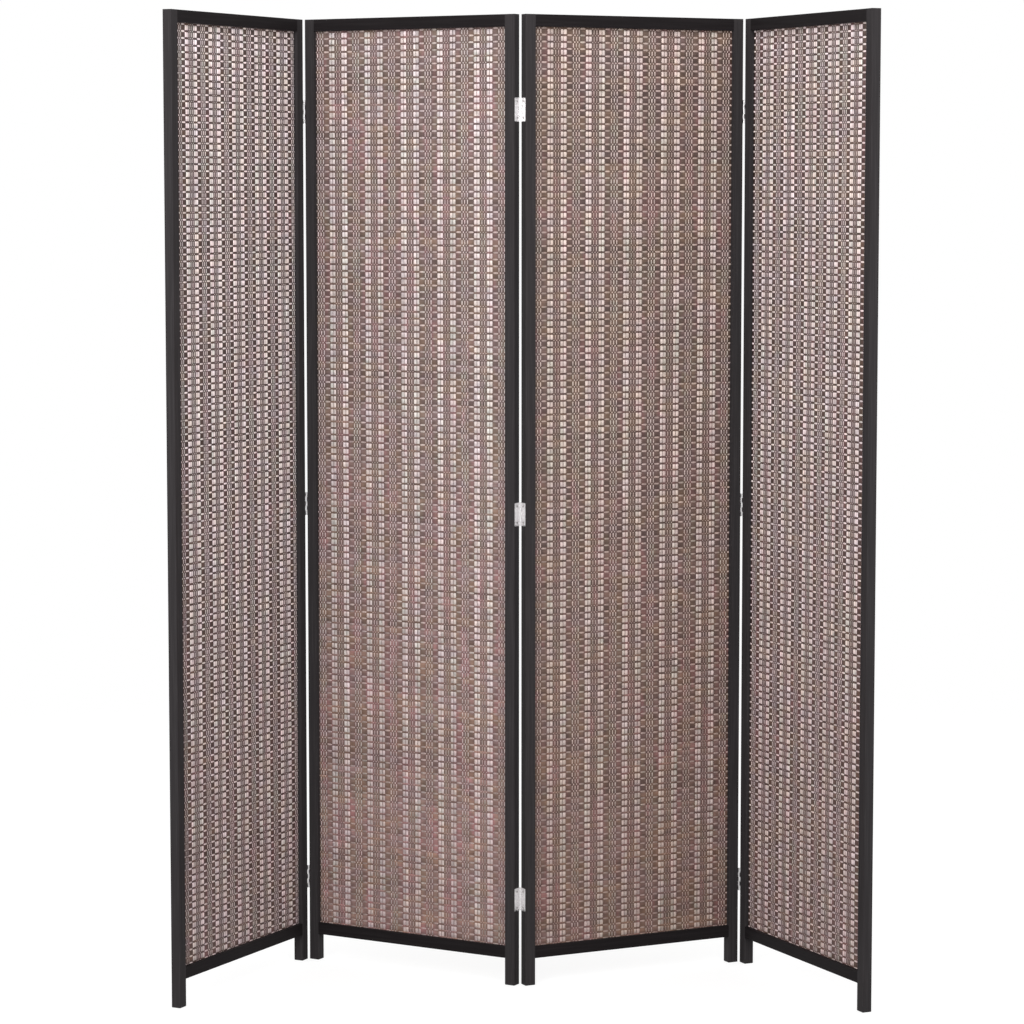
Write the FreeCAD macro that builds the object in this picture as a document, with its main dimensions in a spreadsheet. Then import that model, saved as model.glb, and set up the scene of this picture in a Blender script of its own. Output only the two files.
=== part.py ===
import FreeCAD, Part
import os
import re

import Sketcher

# Folding screen of four woven panels. Each panel is a wooden frame of two stiles and two rails,
# doweled at its corners, with a woven mat held in a groove. Butt hinges join neighbouring stiles.
# A panel is drawn in its own frame: X along its width from the middle, -Y its front, Z up from the floor.

# Driving sizes in millimetres and degrees: name, value, what it is.
SIZES = (
    ("screen_height", 1780, "stile length, floor to top"),
    ("panel_width", 452, "width of one panel over its stiles"),
    ("frame_depth", 18, "thickness of the frame, front to back"),
    ("stile_width", 20, "face width of a stile"),
    ("top_rail_height", 22, "face height of the top rail"),
    ("bottom_rail_height", 22, "face height of the bottom rail"),
    ("leg_length", 50, "floor to the underside of the bottom rail"),
    ("edge_round", 0.8, "radius of the eased outer edges"),
    ("foot_chamfer", 0.8, "bevel round the foot of a stile"),
    ("groove_depth", 6, "depth of the groove that holds the mat"),
    ("mat_thickness", 2.6, "thickness of the woven mat"),
    ("mat_clearance", 0.2, "room round the mat in its groove"),
    ("dowel_diameter", 5, "corner dowel diameter"),
    ("dowel_length", 24, "corner dowel length, half in each piece"),
    ("dowel_inset", 4.5, "outer edge of a rail to the first dowel"),
    ("dowel_spacing", 7, "distance between the two dowels of a corner"),
    ("dowel_clearance", 0.05, "room round a dowel"),
    ("hinge_height", 43, "height of a hinge leaf"),
    ("low_hinge_height", 160, "floor to the middle of the low hinges"),
    ("mid_hinge_height", 874, "floor to the middle of the middle hinges"),
    ("high_hinge_drop", 171, "top of the screen to the middle of the high hinges"),
    ("barrel_diameter", 2.6, "hinge barrel, which also spaces the panels"),
    ("pin_offset", 1.3, "hinge axis in front of the face of the frame"),
    ("pin_diameter", 1.2, "hinge pin diameter"),
    ("pin_clearance", 0.08, "running clearance round the hinge pin"),
    ("pin_round", 0.4, "rounding of the pin ends"),
    ("knuckle_gap", 0.4, "gap between neighbouring knuckles"),
    ("leaf_thickness", 0.7, "hinge leaf thickness"),
    ("leaf_margin", 1, "free edge of a leaf to the far face of the stile"),
    ("leaf_corner", 1.5, "corner radius of a leaf"),
    ("screw_spacing", 30, "distance between the two screws of a leaf"),
    ("screw_diameter", 2.8, "wood screw shank diameter"),
    ("screw_head_diameter", 4.2, "countersunk head diameter"),
    ("screw_length", 12, "wood screw length, head included"),
    ("screw_clearance", 0.1, "room round a screw"),
    ("recess_span", 2.6, "length of each arm of the cross recess"),
    ("recess_width", 0.6, "width of each arm of the cross recess"),
    ("recess_depth", 0.8, "depth of the cross recess"),
    ("heading_angle", -30, "turn of panel 2 from the row's width"),
    ("left_fold_angle", 93, "turn from flat between panels 1 and 2"),
    ("centre_fold_angle", 56.5, "turn from flat between panels 2 and 3"),
    ("right_fold_angle", 91, "turn from flat between panels 3 and 4"),
)
NAMES = {name for name, value, note in SIZES}

# Sizes that follow from the driving ones and are used by more than one piece.
INNER_FACE = "(panel_width / 2 - stile_width)"
GROOVE_LOW = "(leg_length + bottom_rail_height - groove_depth)"
GROOVE_HIGH = "(screen_height - top_rail_height + groove_depth)"
GROOVE_WIDTH = "mat_thickness + 2 * mat_clearance"
DOWEL_HEIGHTS = (
    "leg_length + dowel_inset",
    "leg_length + dowel_inset + dowel_spacing",
    "screen_height - dowel_inset",
    "screen_height - dowel_inset - dowel_spacing",
)
HINGE_HEIGHTS = {
    "low": "low_hinge_height",
    "middle": "mid_hinge_height",
    "high": "(screen_height - high_hinge_drop)",
}
SCREW_HEIGHTS = [f"{height} {sign} screw_spacing / 2" for height in HINGE_HEIGHTS.values() for sign in "-+"]
KNUCKLE_COUNT = 5
KNUCKLE_HEIGHT = f"(hinge_height - {KNUCKLE_COUNT - 1} * knuckle_gap) / {KNUCKLE_COUNT}"
KNUCKLE_PITCH = f"({KNUCKLE_HEIGHT} + knuckle_gap)"
NOTCH_HEIGHT = f"({KNUCKLE_HEIGHT} + 2 * knuckle_gap)"
PIN_DISTANCE = "(panel_width + barrel_diameter) / 2"

# The joint at each hinged end of a panel, and the side of the frame that its hinge pins stand on.
HINGED_ENDS = {
    ("panel_1", "right"): ("left", "front"),
    ("panel_2", "left"): ("left", "front"),
    ("panel_2", "right"): ("centre", "back"),
    ("panel_3", "left"): ("centre", "back"),
    ("panel_3", "right"): ("right", "front"),
    ("panel_4", "left"): ("right", "front"),
}
PANELS = ("panel_1", "panel_2", "panel_3", "panel_4")
SIGN = {"left": -1, "right": 1, "front": -1, "back": 1}
UP = FreeCAD.Vector(0, 0, 1)
TOUCH = 1e-6

doc = FreeCAD.newDocument("folding_screen")
sheet = doc.addObject("Spreadsheet::Sheet", "Sizes")
for row, (name, value, note) in enumerate(SIZES, 1):
    sheet.set(f"A{row}", note)
    sheet.set(f"B{row}", str(value))
    sheet.setAlias(f"B{row}", name)
doc.recompute()


def formula(text):
    """The expression with each size's name pointing at its cell."""
    return re.sub(r"[a-z_]+", lambda word: ("Sizes." if word[0] in NAMES else "") + word[0], text)


def worth(text):
    """The number that an expression of the sizes gives now."""
    return float(sheet.evalExpression(formula(text)))


def tie(thing, prop, text):
    """Let a property follow an expression of the sizes."""
    thing.setExpression(prop, formula(text))


def new_body(label):
    body = doc.addObject("PartDesign::Body", label)
    body.Label = label
    return body


def attach(body, thing, role, distance=None):
    """Lay a sketch or primitive on one of the body's own planes, or at a distance along its normal."""
    plane = next(plane for plane in body.Origin.OriginFeatures if plane.Role == role)
    thing.AttachmentSupport = [(plane, "")]
    thing.MapMode = "FlatFace"
    if distance:
        tie(thing, "AttachmentOffset.Base.z", distance)


def new_sketch(body, name, role, distance=None):
    sketch = body.newObject("Sketcher::SketchObject", name)
    attach(body, sketch, role, distance)
    return sketch


def dimension(sketch, kind, where, text):
    """A sketch dimension that follows an expression of the sizes."""
    index = sketch.addConstraint(Sketcher.Constraint(kind, *where, worth(text)))
    tie(sketch, f"Constraints[{index}]", text)


def rectangle(sketch, left, low, width, height):
    """A closed rectangle from its lower left corner."""
    x, y = worth(left), worth(low)
    right, top = x + worth(width), y + worth(height)
    corners = [FreeCAD.Vector(*corner) for corner in ((x, y), (right, y), (right, top), (x, top))]
    first = sketch.GeometryCount
    for side in range(4):
        sketch.addGeometry(Part.LineSegment(corners[side], corners[(side + 1) % 4]))
    for side in range(4):
        sketch.addConstraint(Sketcher.Constraint("Coincident", first + side, 2, first + (side + 1) % 4, 1))
        sketch.addConstraint(Sketcher.Constraint(("Horizontal", "Vertical")[side % 2], first + side))
    dimension(sketch, "DistanceX", (-1, 1, first, 1), left)
    dimension(sketch, "DistanceY", (-1, 1, first, 1), low)
    dimension(sketch, "DistanceX", (first, 1, first, 2), width)
    dimension(sketch, "DistanceY", (first + 1, 1, first + 1, 2), height)


def circle(sketch, radius, height, across=None):
    """A circle at a height, on the sketch's upright axis unless a distance across is given."""
    middle = FreeCAD.Vector(worth(across) if across else 0, worth(height))
    index = sketch.addGeometry(Part.Circle(middle, UP, worth(radius)))
    dimension(sketch, "Radius", (index,), radius)
    dimension(sketch, "DistanceY", (-1, 1, index, 3), height)
    if across:
        dimension(sketch, "DistanceX", (-1, 1, index, 3), across)
    else:
        sketch.addConstraint(Sketcher.Constraint("PointOnObject", index, 3, -2))


def extrude(body, kind, name, sketch, length, symmetric=False, backwards=False):
    """A pad or pocket. It has to change the body's volume, so one that misses is an error."""
    doc.recompute()
    before = body.Shape.Volume if body.Tip else 0
    feature = body.newObject("PartDesign::" + kind, name)
    feature.Profile = sketch
    feature.SideType = "Symmetric" if symmetric else "One side"
    feature.Reversed = backwards
    tie(feature, "Length", length)
    doc.recompute()
    if abs(body.Shape.Volume - before) < TOUCH:
        raise RuntimeError(f"{body.Label}: {name} changes nothing")
    return feature


def dress(body, kind, name, size_property, size, wanted):
    """A fillet or chamfer on the wanted edges of the body as it stands."""
    base = body.Tip
    names = [f"Edge{number}" for number, edge in enumerate(base.Shape.Edges, 1) if wanted(edge)]
    feature = body.newObject("PartDesign::" + kind, name)
    feature.Base = (base, names)
    tie(feature, size_property, size)
    doc.recompute()
    return feature


def lies_at(edge, axis, place):
    """Whether an edge lies in the plane across an axis ("x", "y" or "z") at a place."""
    return all(abs(getattr(vertex.Point, axis) - place) < TOUCH for vertex in edge.Vertexes)


def make_stile(panel, side):
    """An upright with eased outer edges and foot, a stopped groove, and dowel and screw holes."""
    body = new_body(f"{panel}_{side}_stile")
    sign = SIGN[side]
    outline = new_sketch(body, "outline", "XY_Plane")
    left = "panel_width / 2 - stile_width" if side == "right" else "-panel_width / 2"
    rectangle(outline, left, "-frame_depth / 2", "stile_width", "frame_depth")
    extrude(body, "Pad", "post", outline, "screen_height")
    outer_face = sign * worth("panel_width / 2")
    dress(body, "Fillet", "eased_edges", "Radius", "edge_round",
          lambda edge: lies_at(edge, "x", outer_face) and edge.Length > worth("frame_depth") + TOUCH)
    dress(body, "Chamfer", "foot", "Size", "foot_chamfer", lambda edge: lies_at(edge, "z", 0))

    slot = new_sketch(body, "groove_outline", "XZ_Plane")
    groove_left = INNER_FACE if side == "right" else f"-{INNER_FACE} - groove_depth"
    rectangle(slot, groove_left, GROOVE_LOW, "groove_depth", f"{GROOVE_HIGH} - {GROOVE_LOW}")
    extrude(body, "Pocket", "groove", slot, GROOVE_WIDTH, symmetric=True)

    sockets = new_sketch(body, "dowel_circles", "YZ_Plane", f"{sign} * {INNER_FACE}")
    for height in DOWEL_HEIGHTS:
        circle(sockets, "dowel_diameter / 2 + dowel_clearance", height)
    extrude(body, "Pocket", "dowel_holes", sockets, "dowel_length / 2 + dowel_clearance",
            backwards=side == "right")

    if (panel, side) in HINGED_ENDS:
        pilots = new_sketch(body, "screw_circles", "YZ_Plane", f"{sign} * panel_width / 2")
        for height in SCREW_HEIGHTS:
            circle(pilots, "screw_diameter / 2 + screw_clearance", height)
        extrude(body, "Pocket", "screw_holes", pilots, "screw_length - leaf_thickness + screw_clearance",
                backwards=side == "left")
    return body


def make_rail(panel, level):
    """A cross rail between the stiles, with one eased edge pair, a groove and dowel holes."""
    body = new_body(f"{panel}_{level}_rail")
    height = f"{level}_rail_height"
    low = "screen_height - top_rail_height" if level == "top" else "leg_length"
    section = new_sketch(body, "section", "YZ_Plane", f"-{INNER_FACE}")
    rectangle(section, "-frame_depth / 2", low, "frame_depth", height)
    extrude(body, "Pad", "bar", section, f"2 * {INNER_FACE}")
    outer_face = worth("screen_height" if level == "top" else "leg_length")
    dress(body, "Fillet", "eased_edges", "Radius", "edge_round",
          lambda edge: lies_at(edge, "z", outer_face) and edge.Length > worth("frame_depth") + TOUCH)

    slot = new_sketch(body, "groove_outline", "XZ_Plane")
    groove_low = low if level == "top" else GROOVE_LOW
    rectangle(slot, f"-{INNER_FACE}", groove_low, f"2 * {INNER_FACE}", "groove_depth")
    extrude(body, "Pocket", "groove", slot, GROOVE_WIDTH, symmetric=True)

    heights = DOWEL_HEIGHTS[2:] if level == "top" else DOWEL_HEIGHTS[:2]
    for side in ("left", "right"):
        sockets = new_sketch(body, f"{side}_dowel_circles", "YZ_Plane", f"{SIGN[side]} * {INNER_FACE}")
        for dowel_height in heights:
            circle(sockets, "dowel_diameter / 2 + dowel_clearance", dowel_height)
        extrude(body, "Pocket", f"{side}_dowel_holes", sockets, "dowel_length / 2 + dowel_clearance",
                backwards=side == "left")
    return body


def make_mat(panel):
    """The woven mat as a plain sheet that reaches into the grooves all round."""
    body = new_body(f"{panel}_woven_mat")
    reach = f"({INNER_FACE} + groove_depth - mat_clearance)"
    low = f"{GROOVE_LOW} + mat_clearance"
    outline = new_sketch(body, "outline", "XZ_Plane")
    rectangle(outline, f"-{reach}", low, f"2 * {reach}", f"{GROOVE_HIGH} - {GROOVE_LOW} - 2 * mat_clearance")
    extrude(body, "Pad", "sheet", outline, "mat_thickness", symmetric=True)
    return body


def make_dowels(panel):
    """The corner dowels of a panel, two in each corner, half in the stile and half in the rail."""
    body = new_body(f"{panel}_dowels")
    for side in ("left", "right"):
        circles = new_sketch(body, f"{side}_circles", "YZ_Plane", f"{SIGN[side]} * {INNER_FACE}")
        for height in DOWEL_HEIGHTS:
            circle(circles, "dowel_diameter / 2", height)
        extrude(body, "Pad", f"{side}_dowels", circles, "dowel_length", symmetric=True)
    return body


def notch_numbers(side):
    """The knuckles, counted from the middle of the hinge, that a leaf leaves to its partner."""
    half = KNUCKLE_COUNT // 2
    left_to_partner = 1 if side == "right" else 0
    return [number for number in range(-half, half + 1) if number % 2 == left_to_partner]


def make_leaf(panel, side, level):
    """A hinge leaf about its pin axis: a plate rolled into a barrel, notched and countersunk."""
    joint, face = HINGED_ENDS[panel, side]
    body = new_body(f"{joint}_hinge_{level}_leaf_{panel}")
    barrel, plate = worth("barrel_diameter / 2"), worth("leaf_thickness")
    reach = "-(frame_depth + pin_offset - leaf_margin)"
    inner = "-(barrel_diameter / 2 - leaf_thickness)"
    end = worth(reach)
    meeting = -(barrel ** 2 - (barrel - plate) ** 2) ** 0.5
    outer_foot = FreeCAD.Vector(-barrel, end)
    inner_foot = FreeCAD.Vector(plate - barrel, end)
    roll_end = FreeCAD.Vector(plate - barrel, meeting)
    roll_start = FreeCAD.Vector(-barrel, 0)
    profile = new_sketch(body, "rolled_profile", "XY_Plane")
    roll = profile.addGeometry(Part.Arc(roll_end, FreeCAD.Vector(barrel, 0), roll_start))
    back = profile.addGeometry(Part.LineSegment(roll_start, outer_foot))
    foot = profile.addGeometry(Part.LineSegment(outer_foot, inner_foot))
    front = profile.addGeometry(Part.LineSegment(inner_foot, roll_end))
    bore = profile.addGeometry(Part.Circle(FreeCAD.Vector(), UP, worth("pin_diameter / 2 + pin_clearance")))
    for first, first_end, second, second_end in (
        (roll, 3, -1, 1), (roll, 2, back, 1), (back, 2, foot, 1),
        (foot, 2, front, 1), (front, 2, roll, 1), (bore, 3, -1, 1),
    ):
        profile.addConstraint(Sketcher.Constraint("Coincident", first, first_end, second, second_end))
    profile.addConstraint(Sketcher.Constraint("PointOnObject", roll, 2, -1))
    profile.addConstraint(Sketcher.Constraint("Vertical", back))
    profile.addConstraint(Sketcher.Constraint("Horizontal", foot))
    profile.addConstraint(Sketcher.Constraint("Vertical", front))
    dimension(profile, "Radius", (roll,), "barrel_diameter / 2")
    dimension(profile, "Radius", (bore,), "pin_diameter / 2 + pin_clearance")
    dimension(profile, "DistanceX", (-1, 1, foot, 2), inner)
    dimension(profile, "DistanceY", (-1, 1, foot, 1), reach)
    extrude(body, "Pad", "rolled_plate", profile, "hinge_height", symmetric=True)
    dress(body, "Fillet", "corners", "Radius", "leaf_corner",
          lambda edge: lies_at(edge, "y", end) and abs(edge.Length - plate) < TOUCH)

    notches = new_sketch(body, "knuckle_notches", "YZ_Plane")
    for number in notch_numbers(side):
        rectangle(notches, "-(barrel_diameter / 2 + knuckle_gap)",
                  f"{number} * {KNUCKLE_PITCH} - {NOTCH_HEIGHT} / 2",
                  "barrel_diameter + 2 * knuckle_gap", NOTCH_HEIGHT)
    extrude(body, "Pocket", "notches", notches, "barrel_diameter + 2 * knuckle_gap", symmetric=True)

    holes = new_sketch(body, "screw_circles", "YZ_Plane", inner)
    for sign in (-1, 1):
        circle(holes, "screw_diameter / 2 + screw_clearance", f"{sign} * screw_spacing / 2",
               "-(frame_depth / 2 + pin_offset)")
    doc.recompute()
    hole = body.newObject("PartDesign::Hole", "countersunk_holes")
    hole.Profile = holes
    hole.DepthType = "ThroughAll"
    hole.HoleCutType = "Countersink"
    hole.HoleCutCustomValues = True
    hole.HoleCutCountersinkAngle = 90
    tie(hole, "Diameter", "screw_diameter + 2 * screw_clearance")
    tie(hole, "HoleCutDiameter", "screw_head_diameter + 2 * screw_clearance")
    return body


def make_pin(joint, level):
    """A hinge pin with rounded ends, about its own middle."""
    body = new_body(f"{joint}_hinge_{level}_pin")
    section = new_sketch(body, "section", "XY_Plane")
    index = section.addGeometry(Part.Circle(FreeCAD.Vector(), UP, worth("pin_diameter / 2")))
    section.addConstraint(Sketcher.Constraint("Coincident", index, 3, -1, 1))
    dimension(section, "Radius", (index,), "pin_diameter / 2")
    extrude(body, "Pad", "rod", section, "hinge_height", symmetric=True)
    half = worth("hinge_height / 2")
    dress(body, "Fillet", "ends", "Radius", "pin_round",
          lambda edge: lies_at(edge, "z", half) or lies_at(edge, "z", -half))
    return body


def make_screw():
    """The pattern for the wood screws: along X from the top of its countersunk head to its tip."""
    body = new_body("wood_screw")
    head_height = "(screw_head_diameter - screw_diameter) / 2"
    head = body.newObject("PartDesign::AdditiveCone", "head")
    attach(body, head, "YZ_Plane")
    tie(head, "Radius1", "screw_head_diameter / 2")
    tie(head, "Radius2", "screw_diameter / 2")
    tie(head, "Height", head_height)
    shank = body.newObject("PartDesign::AdditiveCylinder", "shank")
    attach(body, shank, "YZ_Plane", head_height)
    tie(shank, "Radius", "screw_diameter / 2")
    tie(shank, "Height", f"screw_length - screw_diameter - {head_height}")
    tip = body.newObject("PartDesign::AdditiveCone", "tip")
    attach(body, tip, "YZ_Plane", "screw_length - screw_diameter")
    tie(tip, "Radius1", "screw_diameter / 2")
    tie(tip, "Radius2", "screw_diameter / 10")
    tie(tip, "Height", "screw_diameter")
    for name, width, height in (("flat_arm", "recess_span", "recess_width"),
                                ("upright_arm", "recess_width", "recess_span")):
        arm = body.newObject("PartDesign::SubtractiveBox", name)
        attach(body, arm, "YZ_Plane")
        tie(arm, "AttachmentOffset.Base.x", f"-{width} / 2")
        tie(arm, "AttachmentOffset.Base.y", f"-{height} / 2")
        tie(arm, "Length", width)
        tie(arm, "Width", height)
        tie(arm, "Height", "recess_depth")
    doc.recompute()
    return body


def make_screw_group(panel, side, pattern):
    """The screws that hold the hinge leaves on one end of a panel."""
    sign = SIGN[side]
    facing = FreeCAD.Rotation(UP, 180 if side == "right" else 0)
    head_face = sign * worth("panel_width / 2 + leaf_thickness")
    label = f"{panel}_{side}_hinge_screws"
    copies = []
    for number, height in enumerate(SCREW_HEIGHTS, 1):
        copy = doc.addObject("App::Link", f"{label}_{number}")
        copy.LinkedObject = pattern
        copy.Placement = FreeCAD.Placement(FreeCAD.Vector(head_face, 0, worth(height)), facing)
        copies.append(copy)
    group = doc.addObject("Part::Compound", label)
    group.Label = label
    group.Links = copies
    return group


def pin_place(side, face, height=0):
    """A hinge axis in a panel's own frame, at a height."""
    across = SIGN[side] * worth(PIN_DISTANCE)
    depth = SIGN[face] * worth("frame_depth / 2 + pin_offset")
    return FreeCAD.Vector(across, depth, height)


def panel_places():
    """The standing zigzag: each panel's placement, with the centre hinge axis over the plan's origin."""
    first, second, third, fourth = PANELS
    headings = {second: worth("heading_angle")}
    headings[first] = headings[second] + worth("left_fold_angle")
    headings[third] = headings[second] + worth("centre_fold_angle")
    headings[fourth] = headings[third] - worth("right_fold_angle")
    turns = {panel: FreeCAD.Rotation(UP, headings[panel]) for panel in PANELS}
    places = {}

    def stand(panel, end, axis):
        base = axis - turns[panel].multVec(pin_place(*end))
        places[panel] = FreeCAD.Placement(base, turns[panel])

    stand(second, ("right", "back"), FreeCAD.Vector())
    stand(third, ("left", "back"), FreeCAD.Vector())
    stand(first, ("right", "front"), places[second].multVec(pin_place("left", "front")))
    stand(fourth, ("left", "front"), places[third].multVec(pin_place("right", "front")))
    return places


# How a leaf drawn for a right end with its pin at the back is turned for the other ends and faces.
LEAF_TURNS = {
    ("right", "back"): FreeCAD.Rotation(),
    ("right", "front"): FreeCAD.Rotation(FreeCAD.Vector(1, 0, 0), 180),
    ("left", "front"): FreeCAD.Rotation(UP, 180),
    ("left", "back"): FreeCAD.Rotation(FreeCAD.Vector(0, 1, 0), 180),
}

places = panel_places()
pieces = []


def keep(piece, place):
    """Stand a finished piece in the screen."""
    piece.Placement = place
    pieces.append(piece)


for panel in PANELS:
    for side in ("left", "right"):
        keep(make_stile(panel, side), places[panel])
    for level in ("top", "bottom"):
        keep(make_rail(panel, level), places[panel])
    keep(make_mat(panel), places[panel])
    keep(make_dowels(panel), places[panel])

screw = make_screw()
axes = {}
for (panel, side), (joint, face) in HINGED_ENDS.items():
    axes[joint] = (panel, side, face)
    keep(make_screw_group(panel, side, screw), places[panel])
    for level, height in HINGE_HEIGHTS.items():
        seat = FreeCAD.Placement(pin_place(side, face, worth(height)), LEAF_TURNS[side, face])
        keep(make_leaf(panel, side, level), places[panel].multiply(seat))
for joint, (panel, side, face) in axes.items():
    for level, height in HINGE_HEIGHTS.items():
        seat = FreeCAD.Placement(pin_place(side, face, worth(height)), FreeCAD.Rotation())
        keep(make_pin(joint, level), places[panel].multiply(seat))
doc.recompute()

# The origin goes to the middle of the screen's box on the floor.
box = Part.makeCompound([piece.Shape for piece in pieces]).optimalBoundingBox(False)
shift = FreeCAD.Vector(-box.Center.x, -box.Center.y, -box.ZMin)
for piece in pieces:
    piece.Placement = FreeCAD.Placement(shift, FreeCAD.Rotation()).multiply(piece.Placement)
doc.recompute()

for thing in doc.Objects:
    if {"Invalid", "Error"} & set(thing.State):
        raise RuntimeError(f"{thing.Label} failed: {thing.State}")
for piece in pieces:
    if piece.Shape.isNull() or not piece.Shape.isValid():
        raise RuntimeError(f"{piece.Label} has no valid shape")

os.makedirs("parts", exist_ok=True)
for piece in pieces:
    piece.Shape.exportStep(f"parts/{piece.Label}.step")

print("pieces", len(pieces), "box", [round(length, 3) for length in (box.XLength, box.YLength, box.ZLength)])
for joint, (panel, side, face) in axes.items():
    axis = places[panel].multVec(pin_place(side, face)) + shift
    print("hinge axis", joint, round(axis.x, 3), round(axis.y, 3))
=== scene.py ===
"""Folding screen: woven mats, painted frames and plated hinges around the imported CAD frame."""

import math
from typing import NamedTuple

import bpy
from bpy.props import FloatProperty, FloatVectorProperty, IntProperty, PointerProperty
from mathutils import Euler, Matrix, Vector


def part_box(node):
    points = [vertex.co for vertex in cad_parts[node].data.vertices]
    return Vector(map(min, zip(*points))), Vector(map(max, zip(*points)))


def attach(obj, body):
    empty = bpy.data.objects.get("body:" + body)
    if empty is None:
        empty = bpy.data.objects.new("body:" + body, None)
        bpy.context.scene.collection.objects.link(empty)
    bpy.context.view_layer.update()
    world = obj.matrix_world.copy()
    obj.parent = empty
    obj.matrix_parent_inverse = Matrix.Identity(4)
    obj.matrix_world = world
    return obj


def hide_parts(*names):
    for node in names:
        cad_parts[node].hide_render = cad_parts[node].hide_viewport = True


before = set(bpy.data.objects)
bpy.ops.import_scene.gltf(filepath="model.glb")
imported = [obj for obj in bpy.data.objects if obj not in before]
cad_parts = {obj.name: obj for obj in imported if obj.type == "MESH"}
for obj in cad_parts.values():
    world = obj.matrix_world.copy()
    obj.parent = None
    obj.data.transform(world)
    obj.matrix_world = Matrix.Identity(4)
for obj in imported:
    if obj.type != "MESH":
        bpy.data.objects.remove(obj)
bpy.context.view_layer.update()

bl_info = {
    "name": "Folding screen",
    "version": (1, 0, 0),
    "blender": (4, 5, 0),
    "location": "View3D > Sidebar > Folding screen",
    "description": "Weaves the mats, finishes the frames and hinges, and sets the stage",
    "category": "Add Mesh",
}

PANELS = ("panel_1", "panel_2", "panel_3", "panel_4")
WHITE = (1.0, 1.0, 1.0, 1.0)

# Repeats of the stripes on each side of the middle one, and threads in a group.
SIDE_REPEATS = 3
THREADS = 5

# Rings of corners on a warp in each row, segments along a weft, and corners in a strip's section.
RINGS = 3
WEFT_SEGMENTS = 32
WIDE_SIDES = 6
THREAD_SIDES = 4

# Heights of a warp's first two rings in the wide weft, as shares of it.
RING_SHARES = (0.15, 0.85)

# What keeps a ring's number from being rounded into the row below.
ROUNDING_ROOM = 0.1

# How much taller the wefts are than their room in a row, and how far out the edges of their faces lie.
WIDE_SPREAD = 1.16
THIN_SPREAD = 1.1
FACE_FULLNESS = 0.9

# The narrowest warp that is kept at a mat's edge, and the distance at which corners are merged.
LEAST_WIDTH = 0.001
MERGE_DISTANCE = 1e-6

# How many times in a metre the strips stray, and the detail of that noise.
STRAY_SCALE = 14.0
STRAY_DETAIL = 1.0

# Tones of the strips behind the wide wefts and of the two kinds of thread group, beside the creams.
UNDER_TONE = 0.67
INNER_TONE = 0.68
OUTER_TONE = 0.84

# Lowest and highest random tone of a strip, and how far the tone carries it in the noise of its fibres.
WARP_TONES = (0.88, 1.1)
WEFT_TONES = (0.78, 1.2)
TONE_STEP = 90.0

# The step between the seeds of two mats.
SEED_STEP = 10

# What the colours are multiplied by in dim strips, and the tones between which that fades out.
CREAM_DIM = (1.04, 0.94, 0.91, 1.0)
BROWN_DIM = (1.0, 0.99, 0.98, 1.0)
DIM_FADE = (0.55, 0.85)

# What the colours are multiplied by at the foot of a mat, and the heights between which that fades out.
# On the creams this darkening is painted shade; the browns are made lighter there.
CREAM_FOOT_PAINTED_SHADE = (1.0, 0.938, 0.927)
BROWN_FOOT = (1.0, 0.916, 0.9)
FOOT_FADE = (-0.85, 0.15)

# What the colours of each mat are multiplied by.
CREAM_TINTS = {
    "panel_1": (0.99, 1.0, 1.043),
    "panel_2": (1.0, 0.993, 1.022),
    "panel_3": (1.0, 0.965, 0.945),
    "panel_4": (0.998, 0.993, 1.024),
}
BROWN_TINTS = {
    "panel_1": (1.0, 0.965, 1.01),
    "panel_2": (1.0, 1.0, 1.03),
    "panel_3": (1.0, 0.965, 0.945),
    "panel_4": (1.0, 0.95, 0.97),
}

# Axes on which the level and the upright strips of a mat run.
LEVEL_AXIS = 0
UPRIGHT_AXIS = 2

# Patches of other hues to a metre along each axis, their share, and the step from mat to mat in them.
UPRIGHT_PATCHES = (52.0, 52.0, 11.0)
EVEN_PATCHES = (26.0, 26.0, 34.0)
PATCH_SHARE = 0.85
MAT_STEP = 3.7

# Streaks of the painted wood's grain to a metre along each axis, and the paint's gloss.
STILE_GRAIN = (320.0, 320.0, 9.0)
RAIL_GRAIN = (9.0, 320.0, 320.0)
PAINT_GLOSS = 0.02

# Names of the values that strips carry: two for their finish, and two while they are woven.
STRIP_TONE = "strip_tone"
STRIP_PLACE = "strip_place"
STRIP_SIDE = "over"
RING_LIFT = "lift"


def length(name, description, default):
    """A property that holds a length in metres."""
    return FloatProperty(
        name=name,
        description=description,
        default=default,
        unit="LENGTH",
        subtype="DISTANCE",
        precision=5,
    )


def colour(name, description, default):
    """A property that holds a colour."""
    return FloatVectorProperty(
        name=name,
        description=description,
        default=default,
        subtype="COLOR",
        size=3,
        min=0.0,
        max=1.0,
    )


def power(name, description, default):
    """A property that holds a lamp's power in watts."""
    return FloatProperty(name=name, description=description, default=default, subtype="POWER")


def per_mat(name, description, default, most=10.0):
    """A property that holds a factor for each mat."""
    return FloatVectorProperty(
        name=name,
        description=description,
        default=default,
        size=len(PANELS),
        min=0.0,
        max=most,
    )


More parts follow.
